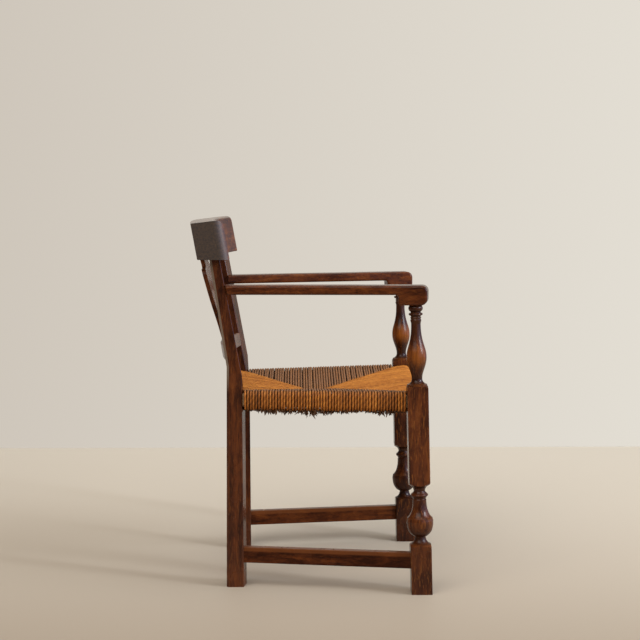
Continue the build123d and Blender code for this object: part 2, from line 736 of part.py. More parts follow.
# Centre the chair front to back and write each piece
boxes = [piece.bounding_box() for piece in pieces.values()]
front_most = min(box.min.Y for box in boxes)
rear_most = max(box.max.Y for box in boxes)
centring = Pos(0, -(front_most + rear_most) / 2, 0)
os.makedirs("parts", exist_ok=True)
for node, piece in pieces.items():
    export_step(centring * piece, f"parts/{node}.step")
print("centring in y", -(front_most + rear_most) / 2)
print("overall depth", rear_most - front_most)
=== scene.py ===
import math
import random

import bmesh
import bpy
import numpy as np
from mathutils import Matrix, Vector


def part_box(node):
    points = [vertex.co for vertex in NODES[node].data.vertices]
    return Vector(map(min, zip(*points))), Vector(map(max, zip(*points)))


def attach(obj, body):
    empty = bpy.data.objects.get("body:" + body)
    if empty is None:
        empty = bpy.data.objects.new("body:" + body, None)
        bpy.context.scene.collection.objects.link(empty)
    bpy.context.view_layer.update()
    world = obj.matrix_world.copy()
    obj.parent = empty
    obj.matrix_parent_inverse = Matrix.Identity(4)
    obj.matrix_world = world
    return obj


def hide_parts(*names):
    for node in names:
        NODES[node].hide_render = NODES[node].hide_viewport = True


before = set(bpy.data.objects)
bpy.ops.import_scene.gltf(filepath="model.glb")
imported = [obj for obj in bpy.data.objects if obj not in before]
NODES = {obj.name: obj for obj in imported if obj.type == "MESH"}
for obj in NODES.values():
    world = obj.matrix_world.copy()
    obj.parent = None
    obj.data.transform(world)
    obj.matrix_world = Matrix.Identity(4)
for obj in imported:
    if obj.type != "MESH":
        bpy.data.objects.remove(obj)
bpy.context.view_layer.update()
BODY = "root"
RANDOM_SEED = 41


def middle_of(node):
    low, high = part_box(node)
    return (low + high) / 2


# Camera: the photograph's viewpoint, above the arms and tipped down a little
CAMERA_PLACE = (-3.5396, 0.0283, 0.885)
CAMERA_PITCH_DEG = 5.07
CAMERA_TURN_DEG = -90.85
FOCAL_PX = 1549.0
IMAGE_PX = 640.0
SENSOR_MM = 36.0

# Floor, which turns paler from FLOOR_FADE_X to its far edge: a painted fall of light
FLOOR_REACH = 7.0
FLOOR_FADE_X = -0.9
FLOOR_FAR_X = 1.60
FLOOR_NEAR_COLOUR = (0.345, 0.276, 0.208)
FLOOR_FAR_COLOUR = (0.90, 0.82, 0.70)
FLOOR_ROUGHNESS = 0.55
FLOOR_GLOSS = 0.25

# World: the wall behind the chair, the room and window that gloss mirrors, and the fill light
WALL_REAR_COLOUR = (0.61, 0.555, 0.485, 1)
WALL_FRONT_COLOUR = (0.765, 0.725, 0.65, 1)
WALL_SPAN = (-0.22, 0.22)
MIRRORED_WALL_SPAN = (0.7, 0.98)
DARK_ROOM_COLOUR = (0.07, 0.062, 0.055, 1)
WINDOW_SKY_COLOUR = (0.9, 0.95, 1.5, 1)
WINDOW_TURN = -0.35
WINDOW_SPAN = (0.45, 0.75)
FILL_COLOUR = (1.0, 0.93, 0.84, 1)
FILL_STRENGTH = 0.34

# Area lights, all aimed at the seat: name, place, size, power and colour
LIGHT_TARGET = (0, 0, 0.45)
LIGHTS = (
    ("window", (-1.2, -3.7, 2.2), (1.9, 1.9), 90.0, (0.88, 0.94, 1.0)),
    ("window_pane", (-1.5, -2.8, 1.7), (0.22, 0.9), 30.0, (0.84, 0.92, 1.0)),
    ("room", (-2.8, 1.2, 3.2), (3.4, 2.8), 92.0, (1.0, 0.94, 0.86)),
    ("soft_top", (-0.2, -0.4, 3.4), (2.6, 2.6), 31.0, (1.0, 0.97, 0.93)),
)

# Oak's noises: stretch along the grain where it has one, scale, detail, roughness and distortion
STREAKS = (0.06, 95.0, 6.0, 0.62, 0.5)
PORES = (0.045, 760.0, 3.0, 0.6)
FLECKS = (0.16, 300.0, 2.0, 0.5, 0.6)
FIGURE = (0.3, 46.0, 3.0, 0.55, 1.2)
CLOUDS = (13.0, 3.0, 0.6)
END_SPECKLE = (230.0, 5.0, 0.7)

# Oak's tone is a base with shares of the noises, looked up in a ramp of stain
TONE_BASE = -0.25
STREAK_SHARE = 0.62
CLOUD_SHARE = 0.42
FIGURE_SHARE = 0.5
OAK_TONES = ((0.32, (0.030, 0.0076, 0.0032)), (0.46, (0.070, 0.0180, 0.0058)),
             (0.58, (0.115, 0.0300, 0.0078)), (0.78, (0.215, 0.0680, 0.0140)))
FLECK_SPAN = (0.56, 0.67)
FLECK_COLOUR = (0.215, 0.070, 0.015, 1)
PORE_STOPS = ((0.34, 0.75), (0.46, 0.0))
PORE_COLOUR = (0.016, 0.0042, 0.002, 1)
OAK_ROUGHNESS = ((0.35, 0.20), (0.7, 0.34))
PORE_RELIEF = 0.6
OAK_BUMP = (0.2, 0.0006)

# Raw timber and packed rush: light and dark colours, and where they lie in the streaks
RAIL_COLOURS = ((0.33, 0.20, 0.10), (0.20, 0.11, 0.05))
DOWEL_COLOURS = ((0.55, 0.40, 0.24), (0.40, 0.27, 0.14))
PACKING_COLOURS = ((0.40, 0.27, 0.12), (0.20, 0.12, 0.05))
RAW_DARK_AT = 0.35
RAW_LIGHT_AT = 0.65
RAW_STREAKS = (0.12, 160.0, 5.0, 0.6)
RAW_BUMP = (0.2, 0.0005)
RAW_ROUGHNESS = 0.75

# Worn edges, in patches
WEAR_RADIUS = 0.0022
WEAR_SAMPLES = 6
WEAR_SPAN = (0.03, 0.22)
WEAR_PATCHES = ((0.42, 0.15), (0.6, 1.0))
WEAR_COLOUR = (0.23, 0.080, 0.024, 1)

# Dark end grain: how square to the grain a face is, and its tones
END_SPAN = (0.50, 0.97)
END_TONES = ((0.34, (0.013, 0.0068, 0.0030)), (0.64, (0.052, 0.027, 0.011)))

# Turned lengths of the front posts as heights and share of warm patches on their swellings (rubbed wear and
# painted highlight), and the posts' rake
TURNED_LENGTHS = ((0.108, 0.237, 0.05), (0.452, 0.627, 0.7))
POST_RAKE = math.tan(math.radians(1.5))
SWELL_RADII = (0.0155, 0.0215)
# Radii of the hollows, darkened with grime and painted shade, and the facing at which undersides take
# painted shade
HOLLOW_RADII = (0.0165, 0.0115)
UNDERSIDE_SHADE_SPAN = (0.0, -0.6)
# Warm colour of the swellings: rubbed wear and painted highlight
RUBBED_AND_LIT_TONES = ((0.35, (0.100, 0.026, 0.0060)), (0.62, (0.34, 0.102, 0.015)))
# Colour and share of the grime and painted shade
GRIME_AND_SHADE_COLOUR = (0.020, 0.0062, 0.003, 1)
GRIME_AND_SHADE_SHARE = 0.72

# Heights and shares of dark bands on a front post: foot, flare, bowl, collar, and bead with ball; painted
# shade, such as the arm's shadow on the ball and the shade on the collar
DARK_SHADE_BANDS = ((-0.01, 0.107, 0.22), (0.106, 0.124, 0.55), (0.124, 0.237, 0.12), (0.450, 0.470, 0.55),
              (0.599, 0.630, 0.55))
BAND_EDGE = 0.003

# Upper parts of the stretchers, coloured lighter than the rest
PALE_TOP_DEPTH = 0.010
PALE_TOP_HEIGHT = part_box("side_stretcher_right")[1].z - PALE_TOP_DEPTH
PALE_TOP_COLOUR = (0.19, 0.060, 0.018, 1)
PALE_TOP_SHARE = 0.6

# Crest rail: where its front ends start to round off, and how hands have polished its top and these ends
CREST_END_ROUND = 0.0125
CREST_END_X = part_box("crest_rail")[1].x - CREST_END_ROUND
CREST_END_EDGE = 0.001
CREST_TOP_SPAN = (0.55, 0.85)
CREST_FRONT_SPAN = (0.1, 0.25)
CREST_END_SHARE = 0.25
DULL_ROUGHNESS = (0.62, 0.62, 0.62, 1)
POLISHED_ROUGHNESS = (0.18, 0.18, 0.18, 1)

# Pale chamfers of the rear posts, partly wear and partly painted sheen: colour, heights between which they
# turn pale, and least turn of a face
CHAMFER_WEAR_AND_SHEEN_COLOUR = (0.20, 0.150, 0.115, 1)
CHAMFER_HEIGHTS = (0.43, 0.47)
CHAMFER_FACING = 0.4

# Seat: places of its rails and posts, from the frame's solids
FRONT_RAIL_LOW, FRONT_RAIL_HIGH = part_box("front_seat_rail")
REAR_RAIL_LOW, REAR_RAIL_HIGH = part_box("rear_seat_rail")
SIDE_RAIL_LOW, SIDE_RAIL_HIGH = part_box("side_seat_rail_left")
FRONT_Y = middle_of("front_seat_rail").y
REAR_Y = middle_of("rear_seat_rail").y
FRONT_Z = middle_of("front_seat_rail").z
REAR_Z = middle_of("rear_seat_rail").z
FRONT_X = middle_of("front_post_left").x
REAR_X = middle_of("rear_post_left").x

# Seat: half height, reach past the rails' centre lines, round of its edges, meeting points of the fields,
# how far its top dips and its underside hangs, and how far in from the rails the hanging starts
SEAT_HALF = 0.0225
SEAT_REACH = 0.0175
CORNER_ROUND = 0.013
FRONT_APEX_Y = FRONT_Y + 0.195
REAR_APEX_Y = FRONT_Y + 0.241
DISH = 0.024
BELLY = 0.011
BELLY_START = 0.009

# Rush cords: size and spacing, and how much they vary
CORD_PITCH = 0.0061
CORD_RADIUS = 0.0030
CORD_SIDES = 8
CORD_WIDTHS = (0.92, 1.05)
CORD_SLANT = 0.0011
CORD_SHIFT = 0.0003
POST_GAP = 0.003
TOP_UNEVEN = 0.0004
UNDER_UNEVEN = 0.0006
RUN_STEPS = 9

# Rush cords at a seam: least length, and points where a cord turns down and ends, as distance and depth
SEAM_LEAST = 0.004
SEAM_TURN = (-0.0012, 0.0016)
SEAM_END = (0.0005, 0.0055)
MIDDLE_SEAM_X = CORD_RADIUS * 0.6

# Rush colours from dark to light, tones of the fields (the side fields' lower tone is painted shade), and
# greyer painted shade on the side fields, which fades at the edge
RUSH_COLOURS = ((0.085, 0.026, 0.006), (0.37, 0.119, 0.019), (0.575, 0.218, 0.037))
FRAY_COLOURS = ((0.06, 0.024, 0.008), (0.16, 0.066, 0.022), (0.28, 0.125, 0.04))
RUSH_LEVELS = (0.45, 0.80, 1.0)
FRONT_TONE = 0.44
REAR_TONE = 0.40
SIDE_SHADED_TONE = 0.28
TONE_SPREAD = 0.07
SIDE_SHADE_COLOUR = (0.25, 0.130, 0.066)
SIDE_SHADE_STOPS = ((0.15, 0.72), (0.75, 1.16))
SIDE_SHADE_SHARE = 0.75
SIDE_SHADE_VARIES = (0.75, 1.0)
EDGE_SHADE = (0.9, 0.75, 0.4, 0.1, 0.0, 0.0)

# Rush texture: twist, noises as scale, detail and roughness, and painted shade in the groove between cords
TWISTS_PER_METRE = 70.0
STRANDS = 2.0
BLOTCHES = (38.0, 4.0, 0.65)
FIBRES = (900.0, 3.0, 0.6)
BLOTCH_SHARE = 0.50
FIBRE_SHARE = 0.30
TWIST_SHARE = 0.16
GROOVE_SHADE_STOPS = ((0.55, 0.0), (0.95, 0.92))
GROOVE_SHADE_COLOUR = (0.016, 0.006, 0.002, 1)
FIBRE_RELIEF = 0.5
RUSH_BUMP = (0.4, 0.0006)
RUSH_ROUGHNESS = 0.6
RUSH_GLOSS = 0.2

# Where broken rush hangs from a side edge: share of the way to the front, depth and spread
FRAY_CLUMPS = ((0.17, 0.009, 0.06), (0.30, 0.008, 0.06), (0.41, 0.019, 0.045), (0.52, 0.009, 0.05),
               (0.62, 0.006, 0.05), (0.86, 0.009, 0.06))
SIDE_TUFTS = 190
SIDE_SAG = 0.004
SIDE_SAG_VARIES = (0.5, 1.2)
SIDE_TUFT_REACH = 0.012
END_TUFTS = 110
END_SAG = (0.003, 0.008)
END_TUFT_REACH = 0.010
END_TUFT_SHARE = 0.97

# Strands of a tuft: their number, length and lean, and their shape from root to tip
FRAY_COUNT = (2, 4)
FRAY_LENGTHS = (0.35, 1.0)
FRAY_LEAN = (0.4, 0.45)
FRAY_OUTWARD = (-0.2, 0.3)
FRAY_ROOT = 0.004
FRAY_PLACE = (0.003, 0.004)
FRAY_BEND = 0.3
FRAY_STEPS = (0, 0.3, 0.6, 0.85, 1.0)
FRAY_TAPER = (1.0, 1.1, 0.9, 0.6, 0.15)
FRAY_WIDTHS = (0.0008, 0.0022)
FRAY_TONES = (0.05, 0.3)
FRAY_SIDES = 5
FRAY_TILT = 0.05

# Stuffing: shares of a field that a pad's faces and waist take, and how far from its ends they lie
PAD_FACE = 0.62
PAD_WAIST = 0.74
PAD_INSET = 0.001
PAD_SHOULDER = 0.006
PAD_LEVELS = 2


# Helpers for shader nodes

def start_material(name):
    material = bpy.data.materials.new(name)
    material.use_nodes = True
    tree = material.node_tree
    return material, tree, tree.nodes["Principled BSDF"]


def add(tree, kind, inputs=None, **settings):
    """New node with its settings and input values; a socket given as a value is linked."""
    node = tree.nodes.new(kind)
    for key, value in settings.items():
        setattr(node, key, value)
    for key, value in (inputs or {}).items():
        if isinstance(value, bpy.types.NodeSocket):
            tree.links.new(value, node.inputs[key])
        else:
            node.inputs[key].default_value = value
    return node


def math_node(tree, operation, first, second=None, third=None, clamp=False):
    inputs = {0: first}
    if second is not None:
        inputs[1] = second
    if third is not None:
        inputs[2] = third
    return add(tree, "ShaderNodeMath", inputs, operation=operation, use_clamp=clamp).outputs[0]


def times(tree, first, *others):
    for other in others:
        first = math_node(tree, "MULTIPLY", first, other)
    return first


def ramp(tree, value, stops):
    node = add(tree, "ShaderNodeValToRGB", {"Fac": value})
    elements = node.color_ramp.elements
    while len(elements) < len(stops):
        elements.new(0.5)
    for element, (place, colour) in zip(elements, stops):
        element.position = place
        element.color = (*colour, 1)
    return node.outputs["Color"]


def grey_ramp(tree, value, stops):
    return ramp(tree, value, [(place, (level, level, level)) for place, level in stops])


def span(tree, value, low, high):
    """Share of the way from a low to a high value, held to 0 and 1."""
    inputs = {"Value": value, "From Min": low, "From Max": high}
    return add(tree, "ShaderNodeMapRange", inputs).outputs["Result"]


def mix(tree, factor, first, second, blend="MIX"):
    inputs = {0: factor, 6: first, 7: second}
    return add(tree, "ShaderNodeMix", inputs, data_type="RGBA", blend_type=blend).outputs[2]


def noise(tree, vector, scale, detail, roughness, distortion=0.0):
    inputs = {"Vector": vector, "Scale": scale, "Detail": detail, "Roughness": roughness,
              "Distortion": distortion}
    return add(tree, "ShaderNodeTexNoise", inputs).outputs["Fac"]


def grain_noise(tree, coordinates, grain, along, *texture):
    """Noise drawn out along the grain."""
    scale = [1.0, 1.0, 1.0]
    scale["XYZ".index(grain)] = along
    mapping = add(tree, "ShaderNodeMapping", {"Vector": coordinates, "Scale": scale})
    return noise(tree, mapping.outputs["Vector"], *texture)


def object_place(tree):
    return add(tree, "ShaderNodeTexCoord").outputs["Object"]


def face_normal(tree):
    return add(tree, "ShaderNodeNewGeometry").outputs["Normal"]


def parts_of(tree, vector):
    """The X, Y and Z of a vector."""
    return add(tree, "ShaderNodeSeparateXYZ", {"Vector": vector}).outputs


def set_bump(tree, shader, height, strength, distance):
    bump = add(tree, "ShaderNodeBump", {"Height": height, "Strength": strength, "Distance": distance})
    tree.links.new(bump.outputs["Normal"], shader.inputs["Normal"])


# Oak: stained dark, with streaked figure, open pores, ray flecks and rubbed edges

def oak(name, grain, warm=0.0, gloss=0.18, fleck_share=0.7, wear_share=0.55, dark_ends=0.0, axis_x=None,
        pale_above=None, hand_rubbed=False, chamfer_wear_and_sheen=False):
    """Dark oak with its grain along an axis.

    axis_x is the place of a turned post, with warm patches on its swellings (rubbed wear and painted
    highlight) and painted shade in its hollows, undersides and dark bands; the wood above the given height
    is coloured lighter.
    """
    material, tree, shader = start_material(name)
    coordinates = object_place(tree)
    streaks = grain_noise(tree, coordinates, grain, *STREAKS)
    pores = grain_noise(tree, coordinates, grain, *PORES)
    clouds = noise(tree, coordinates, *CLOUDS)
    colour = stained(tree, coordinates, grain, warm, streaks, clouds)
    flecks = grain_noise(tree, coordinates, grain, *FLECKS)
    fleck_mask = grey_ramp(tree, flecks, ((FLECK_SPAN[0], 0.0), (FLECK_SPAN[1], fleck_share)))
    colour = mix(tree, fleck_mask, colour, FLECK_COLOUR)
    colour = mix(tree, grey_ramp(tree, pores, PORE_STOPS), colour, PORE_COLOUR)
    if axis_x is not None:
        colour = turned_wear_light_and_shade(tree, coordinates, colour, streaks, axis_x)
    if pale_above is not None:
        # Lighter colour on the upper part of the piece
        pale_top = span(tree, parts_of(tree, coordinates)["Z"], pale_above, pale_above + BAND_EDGE)
        colour = mix(tree, times(tree, pale_top, PALE_TOP_SHARE), colour, PALE_TOP_COLOUR)
    colour = worn_edges(tree, colour, clouds, wear_share)
    if dark_ends:
        colour = dark_end_grain(tree, coordinates, colour, grain, dark_ends)
    # Pale rear chamfers: wear and painted sheen
    if chamfer_wear_and_sheen:
        colour = mix(tree, chamfer_wear_and_sheen_mask(tree, coordinates), colour, CHAMFER_WEAR_AND_SHEEN_COLOUR)
    tree.links.new(colour, shader.inputs["Base Color"])
    if hand_rubbed:
        rough = mix(tree, rubbed_faces(tree, coordinates), DULL_ROUGHNESS, POLISHED_ROUGHNESS)
    else:
        rough = grey_ramp(tree, clouds, OAK_ROUGHNESS)
    tree.links.new(rough, shader.inputs["Roughness"])
    set_bump(tree, shader, math_node(tree, "MULTIPLY_ADD", pores, PORE_RELIEF, streaks), *OAK_BUMP)
    shader.inputs["Specular IOR Level"].default_value = gloss
    return material


def stained(tree, coordinates, grain, warm, streaks, clouds):
    """Stain that is lighter and darker with the streaks, clouds and figure of the wood."""
    figure = grain_noise(tree, coordinates, grain, *FIGURE)
    tone = warm + TONE_BASE
    for texture, share in ((streaks, STREAK_SHARE), (clouds, CLOUD_SHARE), (figure, FIGURE_SHARE)):
        tone = math_node(tree, "MULTIPLY_ADD", texture, share, tone)
    return ramp(tree, tone, OAK_TONES)


def worn_edges(tree, colour, clouds, wear_share):
    """Colour with paler patches along outward edges."""
    bevel = add(tree, "ShaderNodeBevel", {"Radius": WEAR_RADIUS}, samples=WEAR_SAMPLES)
    dot = add(tree, "ShaderNodeVectorMath", {0: bevel.outputs["Normal"], 1: face_normal(tree)},
              operation="DOT_PRODUCT")
    edge = math_node(tree, "SUBTRACT", 1.0, dot.outputs["Value"], clamp=True)
    wear = grey_ramp(tree, edge, ((WEAR_SPAN[0], 0.0), (WEAR_SPAN[1], wear_share)))
    wear = mix(tree, 1.0, wear, grey_ramp(tree, clouds, WEAR_PATCHES), "MULTIPLY")
    return mix(tree, wear, colour, WEAR_COLOUR)


def dark_end_grain(tree, coordinates, colour, grain, share):
    """Colour with dark, speckled faces square to the grain."""
    square = math_node(tree, "ABSOLUTE", parts_of(tree, face_normal(tree))[grain])
    dark = ramp(tree, noise(tree, coordinates, *END_SPECKLE), END_TONES)
    return mix(tree, times(tree, span(tree, square, *END_SPAN), share), colour, dark)


def turned_wear_light_and_shade(tree, coordinates, colour, streaks, axis_x):
    """Colour with warm patches where the turned lengths of a raked post swell (partly rubbed wear, partly
    painted highlight), darkening in hollows (grime and painted shade) and on undersides (painted shade), and
    bands of painted shade.
    """
    place = parts_of(tree, coordinates)
    across = math_node(tree, "SUBTRACT", place["X"], axis_x)
    rake = math_node(tree, "MULTIPLY_ADD", place["Z"], POST_RAKE, FRONT_Y - FRONT_Z * POST_RAKE)
    along = math_node(tree, "SUBTRACT", place["Y"], rake)
    square = math_node(tree, "MULTIPLY_ADD", across, across, times(tree, along, along))
    radius = math_node(tree, "SQRT", square)
    swell = span(tree, radius, *SWELL_RADII)
    # Painted shade on faces that look down, and on hollows together with their grime
    underside_shade = span(tree, parts_of(tree, face_normal(tree))["Z"], *UNDERSIDE_SHADE_SPAN)
    grime_and_shade = math_node(tree, "MAXIMUM", span(tree, radius, *HOLLOW_RADII), underside_shade)
    # Warm patches on the swellings: rubbed wear and painted highlight
    warm = ramp(tree, streaks, RUBBED_AND_LIT_TONES)
    for low, high, share in TURNED_LENGTHS:
        above = math_node(tree, "GREATER_THAN", place["Z"], low)
        within = times(tree, above, math_node(tree, "LESS_THAN", place["Z"], high))
        colour = mix(tree, times(tree, swell, within, share), colour, warm)
        # Grime and painted shade in the hollows and on the undersides
        colour = mix(tree, times(tree, grime_and_shade, within, GRIME_AND_SHADE_SHARE), colour, GRIME_AND_SHADE_COLOUR)
    # Bands of painted shade, such as the arm's shadow on the ball
    for low, high, share in DARK_SHADE_BANDS:
        rising = span(tree, place["Z"], low, low + BAND_EDGE)
        falling = span(tree, place["Z"], high, high - BAND_EDGE)
        band = times(tree, math_node(tree, "MINIMUM", rising, falling), share)
        colour = mix(tree, band, colour, GRIME_AND_SHADE_COLOUR)
    return colour


def chamfer_wear_and_sheen_mask(tree, coordinates):
    """Mask that is bright on the outer rear chamfers of the posts above the seat, where pale wear and
    painted sheen go.
    """
    normal = parts_of(tree, face_normal(tree))
    sideways = math_node(tree, "GREATER_THAN", math_node(tree, "ABSOLUTE", normal["X"]), CHAMFER_FACING)
    rearward = math_node(tree, "GREATER_THAN", normal["Y"], CHAMFER_FACING)
    above = span(tree, parts_of(tree, coordinates)["Z"], *CHAMFER_HEIGHTS)
    return times(tree, sideways, rearward, above)


def rubbed_faces(tree, coordinates):
    """Mask that is bright on the crest rail's top and on its rounded front ends, which hands polish."""
    normal = parts_of(tree, face_normal(tree))
    top = span(tree, normal["Z"], *CREST_TOP_SPAN)
    across = math_node(tree, "ABSOLUTE", parts_of(tree, coordinates)["X"])
    outer = span(tree, across, CREST_END_X - CREST_END_EDGE, CREST_END_X + CREST_END_EDGE)
    forward = span(tree, times(tree, normal["Y"], -1.0), *CREST_FRONT_SPAN)
    return math_node(tree, "MAXIMUM", top, times(tree, outer, forward, CREST_END_SHARE))


def plain_wood(name, light, dark):
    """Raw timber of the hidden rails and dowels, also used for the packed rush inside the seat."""
    material, tree, shader = start_material(name)
    streaks = grain_noise(tree, object_place(tree), "X", *RAW_STREAKS)
    colour = ramp(tree, streaks, ((RAW_DARK_AT, dark), (RAW_LIGHT_AT, light)))
    tree.links.new(colour, shader.inputs["Base Color"])
    shader.inputs["Roughness"].default_value = RAW_ROUGHNESS
    set_bump(tree, shader, streaks, *RAW_BUMP)
    return material


# Rush: twisted dry leaves, from golden to brown, with a tone for each cord

def rush_material(name, colours):
    material, tree, shader = start_material(name)
    tone = add(tree, "ShaderNodeAttribute", attribute_name="tone").outputs["Fac"]
    shaded = add(tree, "ShaderNodeAttribute", attribute_name="painted_shade").outputs["Fac"]
    place = parts_of(tree, add(tree, "ShaderNodeUVMap", uv_map="cord").outputs["UV"])
    around = times(tree, place["Y"], STRANDS)
    turn = math_node(tree, "MULTIPLY_ADD", place["X"], TWISTS_PER_METRE, around)
    wave = math_node(tree, "SINE", times(tree, turn, 2 * math.pi))
    wave = math_node(tree, "MULTIPLY_ADD", wave, 0.5, 0.5)
    coordinates = object_place(tree)
    blotches = noise(tree, coordinates, *BLOTCHES)
    fibres = noise(tree, coordinates, *FIBRES)
    level = tone
    for texture, share in ((blotches, BLOTCH_SHARE), (fibres, FIBRE_SHARE), (wave, TWIST_SHARE)):
        level = math_node(tree, "MULTIPLY_ADD", texture, share, level)
    colour = ramp(tree, level, list(zip(RUSH_LEVELS, colours)))
    # Greyer painted shade on the tops of the side fields
    painted_shade = [(stop, [share * part for part in SIDE_SHADE_COLOUR]) for stop, share in SIDE_SHADE_STOPS]
    colour = mix(tree, shaded, colour, ramp(tree, wave, painted_shade))
    # Painted shade on each cord's flanks, where it meets its neighbours
    flank = math_node(tree, "ABSOLUTE", math_node(tree, "COSINE", times(tree, around, math.pi)))
    colour = mix(tree, grey_ramp(tree, flank, GROOVE_SHADE_STOPS), colour, GROOVE_SHADE_COLOUR)
    tree.links.new(colour, shader.inputs["Base Color"])
    set_bump(tree, shader, math_node(tree, "MULTIPLY_ADD", fibres, FIBRE_RELIEF, wave), *RUSH_BUMP)
    shader.inputs["Roughness"].default_value = RUSH_ROUGHNESS
    shader.inputs["Specular IOR Level"].default_value = RUSH_GLOSS
    return material


# Meshes

def mesh_object(name, mesh):
    data = bpy.data.meshes.new(name)
    mesh.to_mesh(data)
    mesh.free()
    piece = bpy.data.objects.new(name, data)
    bpy.context.collection.objects.link(piece)
    return piece


def tube_points(path, side_way, radii, sides):
    """Rings round a path that lies in an upright plane; side_way is square to that plane."""
    path = np.asarray(path)
    tangent = np.gradient(path, axis=0)
    tangent /= np.linalg.norm(tangent, axis=1)[:, None]
    side_way = np.asarray(side_way) / np.linalg.norm(side_way)
    normal = np.cross(side_way[None, :], tangent)
    angle = np.linspace(0, 2 * math.pi, sides, endpoint=False)
    ring = (np.cos(angle)[None, :, None] * side_way[None, None, :]
            + np.sin(angle)[None, :, None] * normal[:, None, :])
    return path[:, None, :] + ring * np.asarray(radii)[:, None, None]


class CordMesh:
    """Collects tubes into one mesh, with a tone for each and a map of length and turn."""

    def __init__(self):
        self.points = []
        self.faces = []
        self.tones = []
        self.painted_shades = []
        self.maps = []
        self.count = 0

    def add_tube(self, path, side_way, radii, tone, sides=CORD_SIDES, painted_shade=None):
        steps = len(path)
        pieces = np.linalg.norm(np.diff(np.asarray(path), axis=0), axis=1)
        lengths = np.concatenate([[0], np.cumsum(pieces)])
        self.points.append(tube_points(path, side_way, radii, sides).reshape(-1, 3))
        self.tones.append(np.full(steps * sides, tone))
        self.painted_shades.append(np.repeat(np.zeros(steps) if painted_shade is None else np.asarray(painted_shade), sides))
        base = self.count
        for step in range(steps - 1):
            for side in range(sides):
                after = (side + 1) % sides
                low = base + step * sides
                high = low + sides
                self.faces.append((low + side, high + side, high + after, low + after))
                turn, next_turn = side / sides, (side + 1) / sides
                self.maps += [(lengths[step], turn), (lengths[step + 1], turn),
                              (lengths[step + 1], next_turn), (lengths[step], next_turn)]
        for ring, order in ((0, 1), (steps - 1, -1)):
            first = base + ring * sides
            self.faces.append(tuple(range(first, first + sides))[::order])
            self.maps += [(lengths[ring], 0.0)] * sides
        self.count += steps * sides

    def build(self, name, material):
        mesh = bpy.data.meshes.new(name)
        mesh.from_pydata(np.concatenate(self.points).tolist(), [], self.faces)
        layer = mesh.uv_layers.new(name="cord")
        layer.data.foreach_set("uv", np.asarray(self.maps, dtype=np.float32).ravel())
        for word, values in (("tone", self.tones), ("painted_shade", self.painted_shades)):
            attribute = mesh.attributes.new(word, "FLOAT", "POINT")
            attribute.data.foreach_set("value", np.concatenate(values).astype(np.float32))
        mesh.polygons.foreach_set("use_smooth", np.ones(len(mesh.polygons), dtype=bool))
        mesh.materials.append(material)
        mesh.update()
        piece = bpy.data.objects.new(name, mesh)
        bpy.context.collection.objects.link(piece)
        return piece


# Rush seat

def arc(centre, radius, start_deg, end_deg):
    angles = np.radians(np.linspace(start_deg, end_deg, len(EDGE_SHADE)))
    return [(centre[0] + radius * math.cos(a), centre[1] + radius * math.sin(a)) for a in angles]


def seat_level(y):
    """Height of the rails' centre line at a place front to back."""
    return FRONT_Z + (REAR_Z - FRONT_Z) * (y - FRONT_Y) / (REAR_Y - FRONT_Y)


def side_rail_x(y):
    """Distance of a side rail's centre line from the middle."""
    return FRONT_X + (REAR_X - FRONT_X) * (y - FRONT_Y) / (REAR_Y - FRONT_Y)


def cord_section(seam, deepest, rng):
    """Points of one cord from its top seam, out over the rail and back under to its lower seam, as
    (distance in from the rail's centre line, height above the rail's centre), and their share of painted
    shade."""
    inner = CORNER_ROUND - CORD_RADIUS
    out = -(SEAT_REACH - CORD_RADIUS)
    up = SEAT_HALF - CORD_RADIUS
    seam = max(seam, SEAM_LEAST)
    turn_at, end_at = seam + SEAM_TURN[0], seam + SEAM_END[0]

    def top(distance):
        return up - DISH * max(0.0, distance) / deepest

    def under(distance):
        return -up - BELLY * max(0.0, distance - BELLY_START) / deepest

    run = np.linspace(seam - SEAM_LEAST, out + inner, RUN_STEPS)
    start = [(end_at, top(seam) - SEAM_END[1]), (turn_at, top(seam) - SEAM_TURN[1])]
    level = [(d, top(d) + rng.uniform(-TOP_UNEVEN, TOP_UNEVEN)) for d in run[:-1]]
    outer = arc((out + inner, up - inner), inner, 90, 180)
    lower = arc((out + inner, -up + inner), inner, 180, 270)
    back = [(d, under(d) + rng.uniform(-UNDER_UNEVEN, UNDER_UNEVEN)) for d in run[::-1][1:]]
    end = [(turn_at, under(seam) + SEAM_TURN[1]), (end_at, under(seam) + SEAM_END[1])]
    painted_shade = [1.0] * (len(start) + len(level)) + list(EDGE_SHADE)
    points = start + level + outer + lower + back + end
    return points, painted_shade + [0.0] * (len(points) - len(painted_shade))


